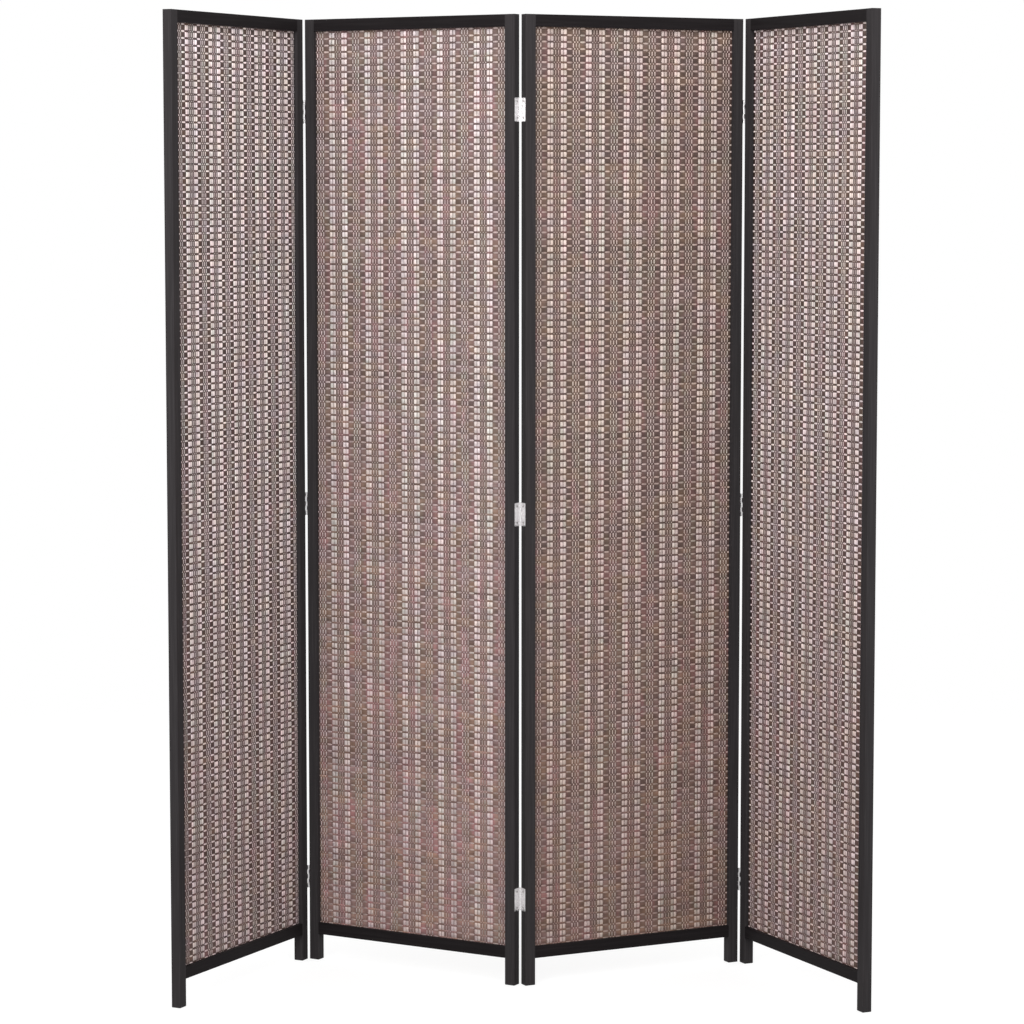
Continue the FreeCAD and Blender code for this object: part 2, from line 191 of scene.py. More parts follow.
class WeaveSizes(bpy.types.PropertyGroup):
    """Sizes and shades of the strips that the mats are woven from."""

    rows: IntProperty(
        name="Rows",
        description="Pairs of one wide and one thin weft in the height of a mat",
        default=138,
        min=2,
    )
    row_shift: length("Row shift", "How far up the rows are shifted in the mat", -0.005)
    wide_weft: length("Wide weft", "Height of a wide weft in its row", 0.0083)
    cream_width: length("Cream stripe", "Width of two warps in front of the wide wefts", 0.0127)
    brown_width: length("Brown stripe", "Width of a warp behind the wide wefts", 0.0119)
    cream_threads: length(
        "Threads between creams", "Width of the five threads between two creams", 0.0144
    )
    brown_threads: length(
        "Threads between browns", "Width of the five threads between two browns", 0.0148
    )
    strip_gap: length("Gap", "Room between two neighbouring warps", 0.0003)
    warp_thickness: length("Warp thickness", "Thickness of an upright strip", 0.0007)
    weft_thickness: length("Weft thickness", "Thickness of a level strip", 0.0009)
    swing: length("Swing", "How far a warp swings to the front and the back", 0.0008)
    bow: length("Bow", "How far a weft gives way to the warps", 0.00015)
    unevenness: length("Unevenness", "How far the strips stray in the mat", 0.0005)
    end_room: length("End room", "Room between a strip's end and its groove", 0.0008)
    offsets: FloatVectorProperty(
        name="Stripe offsets",
        description="Place of the middle pair of cream stripes in each mat",
        default=(0.0074, -0.0014, -0.0014, 0.0033),
        size=len(PANELS),
        unit="LENGTH",
        precision=5,
    )
    # Partly each mat's own tone and partly painted light and shade: the outer mats' creams are made
    # lighter and their browns darker for how the light falls on them.
    cream_shades_and_painted_light: per_mat(
        "Cream shades",
        "How light the upright strips of each mat are beside the others",
        (1.185, 0.92, 0.84, 1.135),
    )
    brown_shades_and_painted_light: per_mat(
        "Brown shades",
        "How light the level strips of each mat are beside the others",
        (0.625, 1.1, 0.81, 0.71),
    )
    # Painted shade: the creams are darkened towards the foot of each mat, and the browns are made
    # lighter there.
    cream_feet_painted_shade: per_mat(
        "Cream feet",
        "How light the upright strips are at the foot of each mat beside its head",
        (0.79, 0.8, 0.77, 0.79),
    )
    brown_feet: per_mat(
        "Brown feet",
        "How light the level strips are at the foot of each mat beside its head",
        (1.2, 1.6, 1.38, 1.24),
    )
    pale_lines: per_mat(
        "Pale lines",
        "How near the dim wide strips of each mat come to the creams",
        (1.0, 0.0, 0.0, 1.0),
        most=1.0,
    )
    seed: IntProperty(name="Seed", description="Seed of the strips' tones", default=7)


class ScreenColours(bpy.types.PropertyGroup):
    """Colours of the screen's finishes."""

    cream: colour("Cream", "Pale upright strips", (0.755, 0.648, 0.618))
    cream_shade: colour("Cream shade", "Deeper fibres of a pale strip", (0.5, 0.4, 0.36))
    brown: colour("Brown", "Level strips", (0.152, 0.099, 0.085))
    brown_shade: colour("Brown shade", "Deeper fibres of a level strip", (0.091, 0.059, 0.051))
    brown_red: colour("Reddish brown", "Reddish patches of a level strip", (0.192, 0.098, 0.096))
    brown_olive: colour("Olive brown", "Olive patches of a level strip", (0.152, 0.11, 0.083))
    brown_gold: colour("Golden brown", "Golden patches of a level strip", (0.163, 0.104, 0.074))
    brown_mauve: colour("Mauve brown", "Mauve patches of a level strip", (0.149, 0.099, 0.095))
    cream_rose: colour("Rose cream", "Rosy patches of a pale strip", (0.77, 0.615, 0.605))
    cream_grey: colour("Grey cream", "Greyish patches of a pale strip", (0.69, 0.67, 0.605))
    cream_gold: colour("Golden cream", "Golden patches of a pale strip", (0.765, 0.653, 0.582))
    cream_mauve: colour("Mauve cream", "Mauve patches of a pale strip", (0.742, 0.645, 0.646))
    black: colour("Black paint", "Paint of the stiles", (0.033, 0.0298, 0.031))
    # Painted shade: the rails' black is darker than the stiles' to stand for the sheen that they lack.
    rail_black_painted_shade: colour("Deep black paint", "Paint of the rails", (0.0135, 0.0115, 0.0121))
    steel: colour("Plated steel", "Leaves and pins", (0.84, 0.825, 0.83))
    screw_steel: colour("Screw steel", "Screws of the hinges", (0.36, 0.34, 0.33))
    beech: colour("Beech", "Dowels", (0.5, 0.32, 0.17))


class StageSettings(bpy.types.PropertyGroup):
    """Camera, lights and floor."""

    camera_place: FloatVectorProperty(
        name="Camera place",
        description="Where the camera stands",
        default=(-0.0025, -6.3153, 1.4761),
        size=3,
        subtype="XYZ",
        unit="LENGTH",
    )
    camera_dip: FloatProperty(
        name="Camera dip",
        description="Angle at which the camera looks down",
        default=math.radians(5.411),
        subtype="ANGLE",
    )
    camera_turn: FloatProperty(
        name="Camera turn",
        description="Angle of the camera about the upright",
        default=math.radians(0.122),
        subtype="ANGLE",
    )
    lens: FloatProperty(
        name="Lens",
        description="Focal length on a 36 mm sensor",
        default=121.96,
        subtype="DISTANCE_CAMERA",
    )
    ambient: FloatProperty(
        name="Ambient",
        description="Strength of the light all round",
        default=1.0,
    )
    upper_power: power("Upper lamp", "Power of the lamp above the front", 27.0)
    left_power: power("Left lamp", "Power of the lamp at the front left", 68.0)
    right_power: power("Right lamp", "Power of the lamp at the front right", 27.0)
    floor: colour("Floor", "Colour of the floor in view", (0.9, 0.9, 0.9))
    floor_bounce: colour("Floor bounce", "Light that the floor throws back", (0.25, 0.25, 0.25))


class Wiring:
    """Adds nodes to one tree and joins them up."""

    def __init__(self, tree):
        self.tree = tree

    def feed(self, socket, value):
        """Links a socket to the input, or sets it to a value."""
        if isinstance(value, bpy.types.NodeSocket):
            self.tree.links.new(value, socket)
        else:
            socket.default_value = value

    def node(self, kind, feeds=(), **settings):
        """A new node with its settings and its inputs by name or by place."""
        made = self.tree.nodes.new(kind)
        for key, value in settings.items():
            setattr(made, key, value)
        if isinstance(feeds, dict):
            for name, value in feeds.items():
                socket = next(s for s in made.inputs if s.name == name and s.enabled)
                self.feed(socket, value)
        else:
            for socket, value in zip(made.inputs, feeds):
                self.feed(socket, value)
        return made

    def out(self, kind, feeds=(), output=None, **settings):
        """One output of a new node: the named one, or the first."""
        made = self.node(kind, feeds, **settings)
        return next(
            s for s in made.outputs if s.enabled and (output is None or s.name == output)
        )

    def calc(self, operation, *values):
        """Arithmetic on numbers."""
        return self.out("ShaderNodeMath", values, operation=operation)

    def vector(self, operation, *values):
        """Arithmetic on vectors."""
        return self.out("ShaderNodeVectorMath", values, operation=operation)

    def choose(self, index, values):
        """The number at an index of a list."""
        made = self.tree.nodes.new("GeometryNodeIndexSwitch")
        made.data_type = "FLOAT"
        while len(made.index_switch_items) < len(values):
            made.index_switch_items.new()
        self.feed(made.inputs[0], index)
        for socket, value in zip(made.inputs[1:], values):
            self.feed(socket, value)
        return made.outputs[0]

    def mix(self, share, first, second, blend="MIX"):
        """A mix of two colours."""
        return self.out(
            "ShaderNodeMix",
            {"Factor": share, "A": first, "B": second},
            output="Result",
            data_type="RGBA",
            blend_type=blend,
        )


def new_tree(name, inputs):
    """An empty Geometry Nodes tree, its wiring and its inputs by name."""
    tree = bpy.data.node_groups.new(name, "GeometryNodeTree")
    for title, kind in inputs.items():
        tree.interface.new_socket(name=title, in_out="INPUT", socket_type="NodeSocket" + kind)
    tree.interface.new_socket(name="Mesh", in_out="OUTPUT", socket_type="NodeSocketGeometry")
    wiring = Wiring(tree)
    entry = tree.nodes.new("NodeGroupInput")
    return tree, wiring, {s.name: s for s in entry.outputs if s.name}


# The inputs that every tree of strips has, with their kinds.
COMMON_INPUTS = {
    "Mat width": "Float",
    "Mat height": "Float",
    "Rows": "Int",
    "Row shift": "Float",
    "Wide weft": "Float",
    "Repeat": "Float",
    "Stripe offset": "Float",
    "Thickness": "Float",
    "Unevenness": "Float",
    "Shade": "Float",
    "Seed": "Int",
    "Place": "Vector",
    "Heading": "Float",
    "Finish": "Material",
}


def keep_named(wiring, geometry, name, kind, value):
    """Geometry with a named value at its points."""
    return wiring.out(
        "GeometryNodeStoreNamedAttribute",
        {"Geometry": geometry, "Name": name, "Value": value},
        data_type=kind,
        domain="POINT",
    )


def read_named(wiring, name):
    """A named number of the geometry."""
    return wiring.out("GeometryNodeInputNamedAttribute", {"Name": name}, data_type="FLOAT")


def tone_points(wiring, given, points, side, share, tones):
    """Points with a random tone and the side on which each strip runs.

    Share is how light a strip is beside the others of its mat, and tones are the random part's ends.
    """
    shade = wiring.calc("MULTIPLY", given["Shade"], share)
    low, high = (wiring.calc("MULTIPLY", shade, end) for end in tones)
    tone = wiring.out(
        "FunctionNodeRandomValue",
        {"Min": low, "Max": high, "Seed": given["Seed"]},
        data_type="FLOAT",
    )
    points = keep_named(wiring, points, STRIP_TONE, "FLOAT", tone)
    return keep_named(wiring, points, STRIP_SIDE, "FLOAT", side)


def lay_strips(wiring, given, instances, forward):
    """Makes the strips one mesh, shifts them to the front or back, and puts the mat in its panel."""
    mesh = wiring.out("GeometryNodeRealizeInstances", {"Geometry": instances})
    place = wiring.out("GeometryNodeInputPosition")
    stray = wiring.out(
        "ShaderNodeTexNoise",
        {"Vector": place, "Scale": STRAY_SCALE, "Detail": STRAY_DETAIL},
        output="Color",
    )
    stray = wiring.vector("SUBTRACT", stray, (0.5, 0.5, 0.5))
    reach = wiring.out("ShaderNodeCombineXYZ", (given["Unevenness"], 0.0, given["Unevenness"]))
    stray = wiring.vector("MULTIPLY", stray, reach)
    shift = wiring.vector("ADD", stray, wiring.out("ShaderNodeCombineXYZ", (0.0, forward, 0.0)))
    mesh = wiring.out("GeometryNodeSetPosition", {"Geometry": mesh, "Offset": shift})
    laid = wiring.out("GeometryNodeInputPosition")
    mesh = keep_named(wiring, mesh, STRIP_PLACE, "FLOAT_VECTOR", laid)
    for name in (STRIP_SIDE, RING_LIFT):
        mesh = wiring.out("GeometryNodeRemoveAttribute", {"Geometry": mesh, "Name": name})
    mesh = wiring.out("GeometryNodeSetShadeSmooth", {"Geometry": mesh, "Shade Smooth": True})
    turn = wiring.out("ShaderNodeCombineXYZ", (0.0, 0.0, given["Heading"]))
    mesh = wiring.out(
        "GeometryNodeTransform",
        {"Geometry": mesh, "Translation": given["Place"], "Rotation": turn},
    )
    mesh = wiring.out("GeometryNodeSetMaterial", {"Geometry": mesh, "Material": given["Finish"]})
    wiring.node("NodeGroupOutput", [mesh])


class Strip(NamedTuple):
    """An upright strip of the repeat; its side is 1 in front of the wide wefts and -1 behind them."""

    place: float
    width: float
    side: float
    tone: float


def crown(sides):
    """What brings the highest corner of a round section to one half."""
    return 0.5 / max(math.sin(2 * math.pi * k / sides) for k in range(sides))


def warp_tree(name, strips, sides):
    """Upright strips that pass the wide weft of each row on one side and the thin one on the other."""
    tree, wiring, given = new_tree(name, {**COMMON_INPUTS, "Swing": "Float", "Pale lines": "Float"})
    calc, out = wiring.calc, wiring.out

    # A point for each strip of each repeat, with the strips cut off at the mat's edges.
    index = out("GeometryNodeInputIndex")
    turn = calc("FLOOR", calc("DIVIDE", index, len(strips)))
    step = calc("SUBTRACT", index, calc("MULTIPLY", turn, len(strips)))
    start = calc("MULTIPLY", calc("SUBTRACT", turn, SIDE_REPEATS), given["Repeat"])
    middle = calc("ADD", start, wiring.choose(step, [s.place for s in strips]))
    middle = calc("ADD", middle, given["Stripe offset"])
    half = calc("MULTIPLY", wiring.choose(step, [s.width for s in strips]), 0.5)
    edge = calc("MULTIPLY", given["Mat width"], 0.5)
    left = calc("MAXIMUM", calc("SUBTRACT", middle, half), calc("MULTIPLY", edge, -1.0))
    right = calc("MINIMUM", calc("ADD", middle, half), edge)
    width = calc("SUBTRACT", right, left)
    centre = calc("MULTIPLY", calc("ADD", left, right), 0.5)
    points = out(
        "GeometryNodePoints",
        {
            "Count": len(strips) * (2 * SIDE_REPEATS + 1),
            "Position": out("ShaderNodeCombineXYZ", (centre, 0.0, 0.0)),
        },
    )
    side = wiring.choose(step, [s.side for s in strips])
    share = wiring.choose(step, [s.tone for s in strips])
    missing = calc("SUBTRACT", 1.0, share)
    share = calc("MULTIPLY_ADD", missing, given["Pale lines"], share)
    points = tone_points(wiring, given, points, side, share, WARP_TONES)

    # A tube with two rings of corners on the wide weft of each row and one on the thin weft, and with
    # rings for one row more at the top. Heights past the mat are brought back to its ends.
    pitch = calc("DIVIDE", given["Mat height"], given["Rows"])
    segments = calc("MULTIPLY_ADD", given["Rows"], RINGS, RINGS - 1.0)
    tube = wiring.node(
        "GeometryNodeMeshCylinder",
        {"Vertices": sides, "Side Segments": segments, "Radius": 1.0, "Depth": 1.0},
        fill_type="NGON",
    ).outputs["Mesh"]
    corner = wiring.node("ShaderNodeSeparateXYZ", [out("GeometryNodeInputPosition")]).outputs
    ring = calc("ROUND", calc("MULTIPLY", calc("ADD", corner[2], 0.5), segments))
    row = calc("FLOOR", calc("DIVIDE", calc("ADD", ring, ROUNDING_ROOM), RINGS))
    phase = calc("ROUND", calc("SUBTRACT", ring, calc("MULTIPLY", row, RINGS)))
    low, high = (calc("MULTIPLY", given["Wide weft"], part) for part in RING_SHARES)
    thin = calc("MULTIPLY", calc("ADD", given["Wide weft"], pitch), 0.5)
    height = calc("ADD", calc("MULTIPLY", row, pitch), wiring.choose(phase, [low, high, thin]))
    end = calc("MULTIPLY", given["Mat height"], 0.5)
    start = calc("MULTIPLY", end, -1.0)
    height = calc("ADD", calc("ADD", height, start), given["Row shift"])
    height = calc("MINIMUM", calc("MAXIMUM", height, start), end)
    depth = calc("MULTIPLY", corner[1], calc("MULTIPLY", given["Thickness"], crown(sides)))
    shape = out("ShaderNodeCombineXYZ", (calc("MULTIPLY", corner[0], 0.5), depth, height))
    lift = wiring.choose(phase, [-1.0, -1.0, 1.0])
    tube = keep_named(wiring, tube, RING_LIFT, "FLOAT", lift)
    tube = out("GeometryNodeSetPosition", {"Geometry": tube, "Position": shape})
    tube = out("GeometryNodeMergeByDistance", {"Geometry": tube, "Distance": MERGE_DISTANCE})

    woven = out(
        "GeometryNodeInstanceOnPoints",
        {
            "Points": points,
            "Selection": calc("GREATER_THAN", width, LEAST_WIDTH),
            "Instance": tube,
            "Scale": out("ShaderNodeCombineXYZ", (width, 1.0, 1.0)),
        },
    )
    forward = calc("MULTIPLY", read_named(wiring, STRIP_SIDE), read_named(wiring, RING_LIFT))
    lay_strips(wiring, given, woven, calc("MULTIPLY", forward, given["Swing"]))
    return tree


def weft_tree(name):
    """Level strips, a wide and a thin one in each row, that give way a little to the warps."""
    tree, wiring, given = new_tree(name, {**COMMON_INPUTS, "Bow": "Float"})
    calc, out = wiring.calc, wiring.out

    # Two points for each row, a wide weft and a thin one above it, and for one row more at the top.
    index = out("GeometryNodeInputIndex")
    row = calc("FLOOR", calc("DIVIDE", index, 2.0))
    kind = calc("SUBTRACT", index, calc("MULTIPLY", row, 2.0))
    pitch = calc("DIVIDE", given["Mat height"], given["Rows"])
    wide_middle = calc("MULTIPLY", given["Wide weft"], 0.5)
    thin_middle = calc("MULTIPLY", calc("ADD", given["Wide weft"], pitch), 0.5)
    thin_weft = calc("SUBTRACT", pitch, given["Wide weft"])
    middle = calc("MULTIPLY_ADD", row, pitch, wiring.choose(kind, [wide_middle, thin_middle]))
    bottom = calc("MULTIPLY", given["Mat height"], -0.5)
    middle = calc("ADD", calc("ADD", middle, bottom), given["Row shift"])
    points = out(
        "GeometryNodePoints",
        {
            "Count": calc("MULTIPLY_ADD", given["Rows"], 2.0, 2.0),
            "Position": out("ShaderNodeCombineXYZ", (0.0, 0.0, middle)),
        },
    )
    side = wiring.choose(kind, [1.0, -1.0])
    points = tone_points(wiring, given, points, side, 1.0, WEFT_TONES)

    # A tube as long as the mat is wide, with a broad face on each side.
    tube = wiring.node(
        "GeometryNodeMeshCylinder",
        {"Vertices": WIDE_SIDES, "Side Segments": WEFT_SEGMENTS, "Radius": 1.0, "Depth": 1.0},
        fill_type="NGON",
    ).outputs["Mesh"]
    corner = wiring.node("ShaderNodeSeparateXYZ", [out("GeometryNodeInputPosition")]).outputs
    along = calc("MULTIPLY", corner[2], given["Mat width"])
    depth = calc("MULTIPLY", corner[1], calc("MULTIPLY", given["Thickness"], crown(WIDE_SIDES)))
    squared = calc("MULTIPLY", corner[0], corner[0])
    fullness = calc("MULTIPLY_ADD", squared, -FACE_FULLNESS, 1.0 + FACE_FULLNESS)
    rise = calc("MULTIPLY", calc("MULTIPLY", corner[0], fullness), -0.5)
    shape = out("ShaderNodeCombineXYZ", (along, depth, rise))
    tube = out("GeometryNodeSetPosition", {"Geometry": tube, "Position": shape})
    spread = wiring.choose(kind, [WIDE_SPREAD, THIN_SPREAD])
    height = calc("MULTIPLY", wiring.choose(kind, [given["Wide weft"], thin_weft]), spread)
    room = calc("MULTIPLY", calc("SUBTRACT", given["Mat height"], height), 0.5)

    woven = out(
        "GeometryNodeInstanceOnPoints",
        {
            "Points": points,
            "Selection": calc("LESS_THAN", calc("ABSOLUTE", middle), room),
            "Instance": tube,
            "Scale": out("ShaderNodeCombineXYZ", (1.0, 1.0, height)),
        },
    )
    place = wiring.node("ShaderNodeSeparateXYZ", [out("GeometryNodeInputPosition")]).outputs
    angle = calc("DIVIDE", calc("SUBTRACT", place[0], given["Stripe offset"]), given["Repeat"])
    wave = calc("COSINE", calc("MULTIPLY", angle, 2 * math.pi))
    forward = calc("MULTIPLY", read_named(wiring, STRIP_SIDE), wave)
    lay_strips(wiring, given, woven, calc("MULTIPLY", forward, given["Bow"]))
    return tree


class MatPlace(NamedTuple):
    """Where a panel's mat stands, which way it runs, and how large it is."""

    centre: Vector
    heading: float
    width: float
    height: float


def mat_place(panel):
    """The place and size of a panel's mat, from its CAD node."""
    node = panel + "_woven_mat"
    low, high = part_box(node)
    centre = (low + high) / 2
    points = [v.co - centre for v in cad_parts[node].data.vertices]
    spread_x = sum(p.x * p.x for p in points)
    spread_y = sum(p.y * p.y for p in points)
    spread_xy = sum(p.x * p.y for p in points)
    heading = 0.5 * math.atan2(2 * spread_xy, spread_x - spread_y)
    direction = Vector((math.cos(heading), math.sin(heading), 0.0))
    reach = [p.dot(direction) for p in points]
    return MatPlace(centre, heading, max(reach) - min(reach), high.z - low.z)


def make_piece(name, tree, values):
    """A plain mesh piece from a tree and the values of its inputs."""
    piece = bpy.data.objects.new(name, bpy.data.meshes.new(name))
    bpy.context.scene.collection.objects.link(piece)
    maker = piece.modifiers.new(name, "NODES")
    maker.node_group = tree
    for item in tree.interface.items_tree:
        if item.in_out == "INPUT":
            maker[item.identifier] = values[item.name]
    graph = bpy.context.evaluated_depsgraph_get()
    mesh = bpy.data.meshes.new_from_object(
        piece.evaluated_get(graph), preserve_all_data_layers=True, depsgraph=graph
    )
    piece.modifiers.clear()
    blank = piece.data
    piece.data = mesh
    bpy.data.meshes.remove(blank)
    mesh.name = name
    return piece


def new_finish(name):
    """A material, its wiring and its shader."""
    finish = bpy.data.materials.new(name)
    finish.use_nodes = True
    return finish, Wiring(finish.node_tree), finish.node_tree.nodes["Principled BSDF"]


def object_place(wiring, scale, heading=0.0):
    """Object coordinates, turned to a panel and scaled along its own sides."""
    place = wiring.node("ShaderNodeTexCoord").outputs["Object"]
    turned = wiring.out("ShaderNodeMapping", {"Vector": place, "Rotation": (0.0, 0.0, -heading)})
    return wiring.vector("MULTIPLY", turned, scale)


def noise(wiring, place, detail, own=None):
    """A noise between 0 and 1 at a place, and at a strip's own number where that is given."""
    feeds = {"Vector": place, "Scale": 1.0, "Detail": detail}
    if own is None:
        return wiring.out("ShaderNodeTexNoise", feeds)
    return wiring.out("ShaderNodeTexNoise", {**feeds, "W": own}, noise_dimensions="4D")


def span(wiring, value, ends, to=(0.0, 1.0)):
    """A value carried from one range to another and held within it."""
    feeds = {
        "Value": value,
        "From Min": ends[0],
        "From Max": ends[1],
        "To Min": to[0],
        "To Max": to[1],
    }
    return wiring.out("ShaderNodeMapRange", feeds)


def bump(wiring, shader, height, strength, distance):
    """Relief on a finish."""
    feeds = {"Height": height, "Strength": strength, "Distance": distance}
    wiring.feed(shader.inputs["Normal"], wiring.out("ShaderNodeBump", feeds))


def splint_finish(name, panel, pale, deep, patches, along, foot, dim):
    """Flat plant-fibre strip: reeds and fibres along it, a tone of its own and patches of other hues.

    Along is the axis on which the strip runs. Foot is what the colours are multiplied by at the foot of
    the mat, painted shade on the creams, and dim is what they are multiplied by in dim strips.
    """
    finish, wiring, shader = new_finish(name)
    place = wiring.out("ShaderNodeAttribute", output="Vector", attribute_name=STRIP_PLACE)
    tone = wiring.out("ShaderNodeAttribute", output="Fac", attribute_name=STRIP_TONE)
    own = wiring.calc("MULTIPLY", tone, TONE_STEP)

    def streaks(across, lengthways, detail):
        scale = [across, across, across]
        scale[along] = lengthways
        return noise(wiring, wiring.vector("MULTIPLY", place, scale), detail, own)

    fibres = streaks(across=1500.0, lengthways=45.0, detail=3.0)
    reeds = streaks(across=420.0, lengthways=28.0, detail=1.0)
    blocks = streaks(across=40.0, lengthways=85.0, detail=0.0)
    mat = wiring.vector("ADD", place, (0.0, MAT_STEP * PANELS.index(panel), 0.0))
    body = wiring.mix(span(wiring, fibres, (0.35, 0.75), to=(0.0, 0.55)), pale, deep)
    for scale, upper, lower in patches:
        patch = noise(wiring, wiring.vector("MULTIPLY", mat, scale), detail=1.5)
        body = wiring.mix(span(wiring, patch, (0.53, 0.67), to=(0.0, PATCH_SHARE)), body, upper)
        body = wiring.mix(span(wiring, patch, (0.47, 0.33), to=(0.0, PATCH_SHARE)), body, lower)
    shade = wiring.calc("MULTIPLY", tone, span(wiring, reeds, (0.3, 0.7), to=(0.84, 1.12)))
    shade = wiring.calc("MULTIPLY", shade, span(wiring, blocks, (0.3, 0.7), to=(0.78, 1.17)))
    shade = wiring.out("ShaderNodeCombineXYZ", (shade, shade, shade))
    body = wiring.mix(1.0, body, shade, "MULTIPLY")
    height = wiring.node("ShaderNodeSeparateXYZ", [place]).outputs[2]
    lit_share = span(wiring, tone, DIM_FADE)
    # Towards the foot of the mat the colours take on the foot tint: painted shade on the creams.
    head_share = span(wiring, height, FOOT_FADE)
    for tint, share in ((dim, lit_share), (foot, head_share)):
        body = wiring.mix(1.0, body, wiring.mix(share, tint, WHITE), "MULTIPLY")
    wiring.feed(shader.inputs["Base Color"], body)
    wiring.feed(shader.inputs["Roughness"], span(wiring, fibres, (0.3, 0.7), to=(0.5, 0.7)))
    shader.inputs["Specular IOR Level"].default_value = 0.35
    relief = wiring.calc("ADD", wiring.calc("MULTIPLY", fibres, 0.4), reeds)
    bump(wiring, shader, relief, strength=0.35, distance=0.0004)
    return finish


def tinted(tint, *tones):
    """Colours as they are in the mat that has this tint."""
    return [tuple(c * t for c, t in zip(tone, tint)) + (1.0,) for tone in tones]


def cream_finish(panel, colours, foot):
    """The upright strips of one mat."""
    tint = CREAM_TINTS[panel]
    pale, deep = tinted(tint, colours.cream, colours.cream_shade)
    rosy, greyish = tinted(tint, colours.cream_rose, colours.cream_grey)
    golden, mauve = tinted(tint, colours.cream_gold, colours.cream_mauve)
    return splint_finish(
        "cream_splint_" + panel,
        panel,
        pale,
        deep,
        ((UPRIGHT_PATCHES, rosy, greyish), (EVEN_PATCHES, golden, mauve)),
        UPRIGHT_AXIS,
        tuple(foot * c for c in CREAM_FOOT_PAINTED_SHADE) + (1.0,),
        CREAM_DIM,
    )


def brown_finish(panel, colours, foot):
    """The level strips of one mat."""
    tint = BROWN_TINTS[panel]
    pale, deep = tinted(tint, colours.brown, colours.brown_shade)
    reddish, olive = tinted(tint, colours.brown_red, colours.brown_olive)
    golden, mauve = tinted(tint, colours.brown_gold, colours.brown_mauve)
    return splint_finish(
        "brown_splint_" + panel,
        panel,
        pale,
        deep,
        ((UPRIGHT_PATCHES, reddish, olive), (EVEN_PATCHES, golden, mauve)),
        LEVEL_AXIS,
        tuple(foot * c for c in BROWN_FOOT) + (1.0,),
        BROWN_DIM,
    )


def painted_finish(name, black, grain_scale, heading=0.0):
    """Matt black paint on wood, with the grain showing faintly through it."""
    finish, wiring, shader = new_finish(name)
    grain = noise(wiring, object_place(wiring, grain_scale, heading), detail=4.0)
    clouds = noise(wiring, object_place(wiring, (9.0, 9.0, 9.0)), detail=3.0)
    lighter = [min(1.0, 1.5 * c + 0.003) for c in black]
    showing = span(wiring, grain, (0.45, 0.75), to=(0.0, 0.6))
    wiring.feed(shader.inputs["Base Color"], wiring.mix(showing, (*black, 1.0), (*lighter, 1.0)))
    rough = wiring.calc(
        "ADD",
        span(wiring, grain, (0.3, 0.7), to=(0.35, 0.46)),
        span(wiring, clouds, (0.3, 0.7), to=(-0.05, 0.07)),
    )
    wiring.feed(shader.inputs["Roughness"], rough)
    shader.inputs["Specular IOR Level"].default_value = PAINT_GLOSS
    bump(wiring, shader, grain, strength=0.12, distance=0.0004)
    return finish


def plated_finish(name, steel):
    """Plated steel with fine upright brushing, dull clouds and worn streaks."""
    finish, wiring, shader = new_finish(name)
    brushing = noise(wiring, object_place(wiring, (2600.0, 2600.0, 160.0)), detail=3.0)
    clouds = noise(wiring, object_place(wiring, (120.0, 120.0, 120.0)), detail=3.0)
    streaks = noise(wiring, object_place(wiring, (520.0, 520.0, 12.0)), detail=2.0)
    dull = [0.78 * c for c in steel]
    worn = [0.5 * c for c in steel]
    dull_share = span(wiring, clouds, (0.5, 0.8), to=(0.0, 0.5))
    worn_share = span(wiring, streaks, (0.5, 0.75), to=(0.0, 0.4))
    body = wiring.mix(dull_share, (*steel, 1.0), (*dull, 1.0))
    wiring.feed(shader.inputs["Base Color"], wiring.mix(worn_share, body, (*worn, 1.0)))
    shader.inputs["Metallic"].default_value = 1.0
    rough = wiring.calc(
        "ADD",
        span(wiring, brushing, (0.3, 0.7), to=(0.22, 0.32)),
        span(wiring, clouds, (0.4, 0.7), to=(0.0, 0.1)),
    )
    wiring.feed(shader.inputs["Roughness"], rough)
    bump(wiring, shader, brushing, strength=0.05, distance=0.00005)
    return finish


def wood_finish(name, wood):
    """Bare wood with grain and short flecks."""
    finish, wiring, shader = new_finish(name)
    grain = noise(wiring, object_place(wiring, (220.0, 220.0, 900.0)), detail=4.0)
    flecks = noise(wiring, object_place(wiring, (900.0, 900.0, 1400.0)), detail=1.0)
    deep = [0.62 * c for c in wood]
    grain_share = span(wiring, grain, (0.35, 0.7), to=(0.0, 0.7))
    fleck_share = span(wiring, flecks, (0.6, 0.75), to=(0.0, 0.6))
    body = wiring.mix(grain_share, (*wood, 1.0), (*deep, 1.0))
    wiring.feed(shader.inputs["Base Color"], wiring.mix(fleck_share, body, (*deep, 1.0)))
    wiring.feed(shader.inputs["Roughness"], span(wiring, grain, (0.3, 0.7), to=(0.5, 0.68)))
    bump(wiring, shader, grain, strength=0.15, distance=0.0003)
    return finish


def give(node, finish):
    """Gives a CAD node its finish."""
    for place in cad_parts[node].material_slots:
        place.material = finish


def nodes_with(*words):
    """Names of the CAD nodes that hold one of these words."""
    return [name for name in sorted(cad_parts) if any(word in name for word in words)]


def repeat_width(sizes):
    """Width of one repeat of the stripes."""
    stripes = 2 * sizes.cream_width + 2 * sizes.brown_width
    return stripes + sizes.cream_threads + sizes.brown_threads


def wide_strips(sizes):
    """The wide warps of one repeat: one behind each brown stripe and two in each cream stripe."""
    repeat, gap = repeat_width(sizes), sizes.strip_gap
    cream, brown = sizes.cream_width, sizes.brown_width
    cream_place = sizes.cream_threads / 2 + cream / 2
    brown_place = sizes.cream_threads / 2 + cream + brown / 2
    strips = [
        Strip(place, brown - gap, -1.0, UNDER_TONE) for place in (brown_place, repeat - brown_place)
    ]
    for centre in (cream_place, repeat - cream_place):
        for side in (-1, 1):
            strips.append(Strip(centre + side * cream / 4, cream / 2 - gap, 1.0, 1.0))
    return strips


